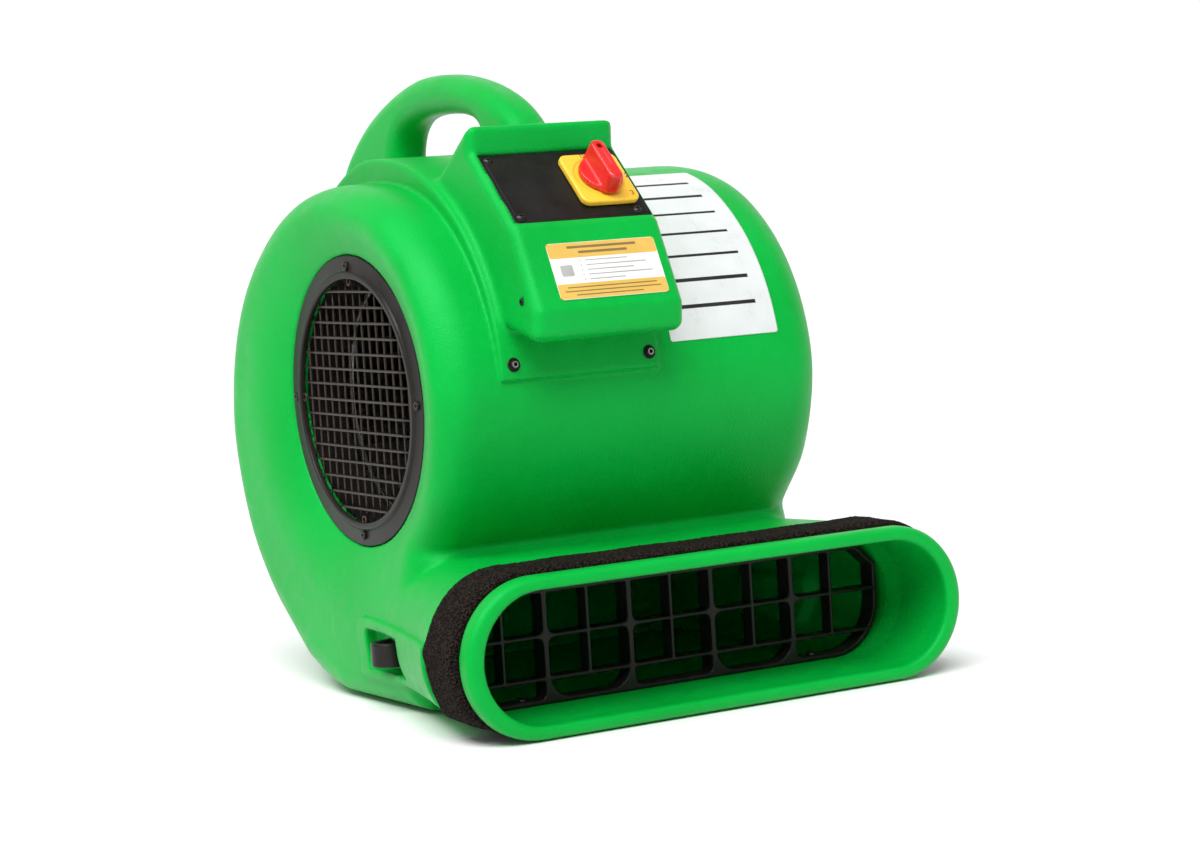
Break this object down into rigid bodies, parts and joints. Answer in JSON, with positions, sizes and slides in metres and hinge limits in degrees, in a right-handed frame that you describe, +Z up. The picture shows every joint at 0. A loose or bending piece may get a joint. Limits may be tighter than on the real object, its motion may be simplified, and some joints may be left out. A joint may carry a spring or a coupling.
{
  "type": "pet dryer",
  "caption": "Rotomoulded centrifugal cage dryer for pets with side air inlets, a wide flat outlet, a speed switch and a carry handle.",
  "frame": {"origin": "centre of the bounding box on the plane the feet stand on", "axes": "+Z up; the outlet blows along -Y; +X is to the right when looking along +Y at the outlet; the blower axle is parallel to X"},
  "size_m": [0.452, 0.5184, 0.5075],
  "materials": {
    "moulded_green": "rotomoulded polyethylene, satin with a fine orange-peel texture",
    "yellow_plate": "moulded, satin gloss",
    "label_film": "printed vinyl film",
    "decal_film": "printed silver-white vinyl film",
    "red_knob": "moulded, satin gloss",
    "foam": "open-cell foam strip, granular",
    "foot_rubber": "matt",
    "black_steel": "black oxide or black coated, semi-gloss",
    "plated_steel": "zinc plated",
    "motor_alloy": "cast and machined",
    "winding": "laminations with copper winding",
    "black_plastic": "semi-gloss moulded plastic"
  },
  "bodies": {
    "housing": {"bearing_left": "plated_steel", "bearing_right": "plated_steel", "bracket_bolt_1": "plated_steel", "bracket_bolt_2": "plated_steel", "bracket_bolt_3": "plated_steel", "bracket_bolt_4": "plated_steel", "control_panel": "black_plastic", "cord_gland": "black_plastic", "drum_decal": "decal_film", "foam_gasket": "foam", "foot_front_left": "foot_rubber", "foot_front_right": "foot_rubber", "foot_rear_left": "foot_rubber", "foot_rear_right": "foot_rubber", "housing": "moulded_green", "info_label": "label_film", "inlet_grille_left": "black_steel", "inlet_grille_right": "black_steel", "inlet_ring_left": "black_plastic", "inlet_ring_right": "black_plastic", "motor_bracket": "black_steel", "motor_case": "motor_alloy", "motor_end_cap_left": "motor_alloy", "motor_end_cap_right": "motor_alloy", "motor_stator": "winding", "outlet_grille": "black_plastic", "outlet_grille_screw_left": "plated_steel", "outlet_grille_screw_right": "plated_steel", "pad_screw_left": "black_steel", "pad_screw_right": "black_steel", "panel_screw_1": "black_steel", "panel_screw_2": "black_steel", "panel_screw_3": "black_steel", "panel_screw_4": "black_steel", "ring_screw_left_bottom": "black_steel", "ring_screw_left_front": "black_steel", "ring_screw_left_rear": "black_steel", "ring_screw_left_top": "black_steel", "ring_screw_right_bottom": "black_steel", "ring_screw_right_front": "black_steel", "ring_screw_right_rear": "black_steel", "ring_screw_right_top": "black_steel", "run_capacitor": "motor_alloy", "switch_body": "black_plastic", "switch_plate": "yellow_plate", "tie_loop_left": "black_plastic", "tie_loop_right": "black_plastic", "tie_loop_screw_left_front": "black_steel", "tie_loop_screw_left_rear": "black_steel", "tie_loop_screw_right_front": "black_steel", "tie_loop_screw_right_rear": "black_steel"},
    "wheel": {"impeller": "black_plastic", "motor_shaft": "plated_steel", "motor_rotor": "plated_steel"},
    "knob": {"switch_knob": "red_knob", "knob_screw": "plated_steel"}
  },
  "joints": [
    {"name": "wheel_spin", "type": "hinge", "parent": "housing", "child": "wheel", "pos_m": [0, 0.01793, 0.2455], "axis": [1, 0, 0], "continuous": true},
    {"name": "knob_turn", "type": "hinge", "parent": "housing", "child": "knob", "pos_m": [-0.02, -0.13761, 0.41041], "axis": [0, -0.6881, 0.7256], "range_deg": [-135, 0]}
  ]
}
